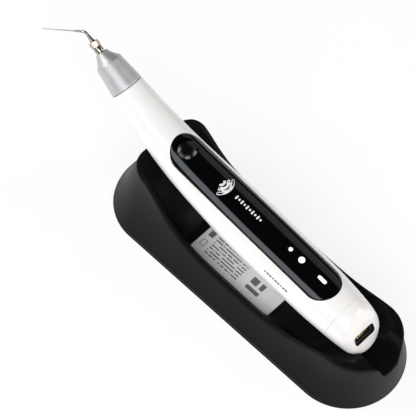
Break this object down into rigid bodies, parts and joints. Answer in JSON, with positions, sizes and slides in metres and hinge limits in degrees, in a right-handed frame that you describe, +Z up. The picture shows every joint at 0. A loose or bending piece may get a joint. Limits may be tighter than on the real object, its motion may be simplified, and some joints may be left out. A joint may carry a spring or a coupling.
{
  "type": "endodontic motor",
  "caption": "Cordless pen-shaped endodontic handpiece with a bent ultrasonic tip and a glossy control panel, lying in a charging cradle.",
  "frame": {"origin": "on the table, under the middle of the cradle, on the underside of its centre foot", "axes": "+X towards the handpiece's tail, -X towards its tip, +Z up, Y across the cradle"},
  "size_m": [0.1953, 0.0532, 0.0766],
  "materials": {
    "white_housing": "gloss",
    "black_panel": "high gloss",
    "black_button": "gloss",
    "indicator_glow": "frosted, lit",
    "circuit_board": "satin",
    "chip_plastic": "matte",
    "lamp_lens": "gloss",
    "switch_metal": "satin",
    "copper_winding": "enamelled",
    "cell_jacket": "satin",
    "grey_holder": "matte",
    "titanium_horn": "turned",
    "stack_steel": "turned",
    "piezo_ceramic": "ground",
    "contact_gold": "plated",
    "seal_rubber": "matte",
    "satin_aluminium": "satin",
    "polished_steel": "polished",
    "file_steel": "polished",
    "black_fitting": "satin",
    "cradle_plastic": "satin",
    "base_plastic": "satin",
    "foot_rubber": "matte",
    "screw_steel": "zinc",
    "ballast_steel": "zinc",
    "inlet_metal": "satin",
    "label_foil": "silver film"
  },
  "bodies": {
    "cradle": {"cradle_shell": "cradle_plastic", "base_plate": "base_plastic", "rubber_feet": "foot_rubber", "cover_screws": "screw_steel", "ballast_plate": "ballast_steel", "charging_board": "circuit_board", "charging_chips": "chip_plastic", "contact_block": "black_fitting", "power_inlet": "inlet_metal", "inlet_contacts": "black_fitting", "rating_label": "label_foil"},
    "handpiece": {"housing_shell": "white_housing", "tail_cap": "white_housing", "control_panel": "black_panel", "indicator_small": "indicator_glow", "indicator_large": "indicator_glow", "charge_level_bar": "indicator_glow", "main_board": "circuit_board", "indicator_board": "circuit_board", "board_chips": "chip_plastic", "indicator_lamps": "lamp_lens", "button_switch": "switch_metal", "drive_coil": "copper_winding", "battery_cell": "cell_jacket", "battery_holder": "grey_holder", "transducer_horn": "titanium_horn", "back_mass": "stack_steel", "preload_bolt": "stack_steel", "piezo_discs": "piezo_ceramic", "electrode_plates": "contact_gold", "transducer_sleeve": "seal_rubber", "nose_seal_ring": "seal_rubber", "charge_port": "black_fitting", "port_contacts": "contact_gold", "charging_pads": "contact_gold"},
    "power_button": {"power_button": "black_button"},
    "nose_cone": {"nose_cone": "satin_aluminium"},
    "ultrasonic_tip": {"tip_collar": "polished_steel", "tip_file": "file_steel"},
    "contact_pin_near": {"contact_pin_near": "contact_gold"},
    "contact_pin_far": {"contact_pin_far": "contact_gold"}
  },
  "joints": [
    {"name": "handpiece_lift", "type": "slide", "parent": "cradle", "child": "handpiece", "axis": [0, 0, 1], "range_m": [0, 0.08]},
    {"name": "button_press", "type": "slide", "parent": "handpiece", "child": "power_button", "axis": [-0.1323, 0, -0.9912], "range_m": [0, 0.0004], "stiffness_N_per_m": 1500, "springref_m": -0.0004},
    {"name": "nose_cone_turn", "type": "hinge", "parent": "handpiece", "child": "nose_cone", "pos_m": [-0.0778, 0, 0.0615], "axis": [-0.848, 0, 0.5299], "range_deg": [0, 720]},
    {"name": "tip_turn", "type": "hinge", "parent": "handpiece", "child": "ultrasonic_tip", "pos_m": [-0.0778, 0, 0.0615], "axis": [-0.848, 0, 0.5299], "range_deg": [0, 720]},
    {"name": "pin_near_press", "type": "slide", "parent": "cradle", "child": "contact_pin_near", "axis": [0, 0, -1], "range_m": [0, 0.001], "stiffness_N_per_m": 500, "springref_m": -0.0006},
    {"name": "pin_far_press", "type": "slide", "parent": "cradle", "child": "contact_pin_far", "axis": [0, 0, -1], "range_m": [0, 0.001], "stiffness_N_per_m": 500, "springref_m": -0.0006}
  ]
}
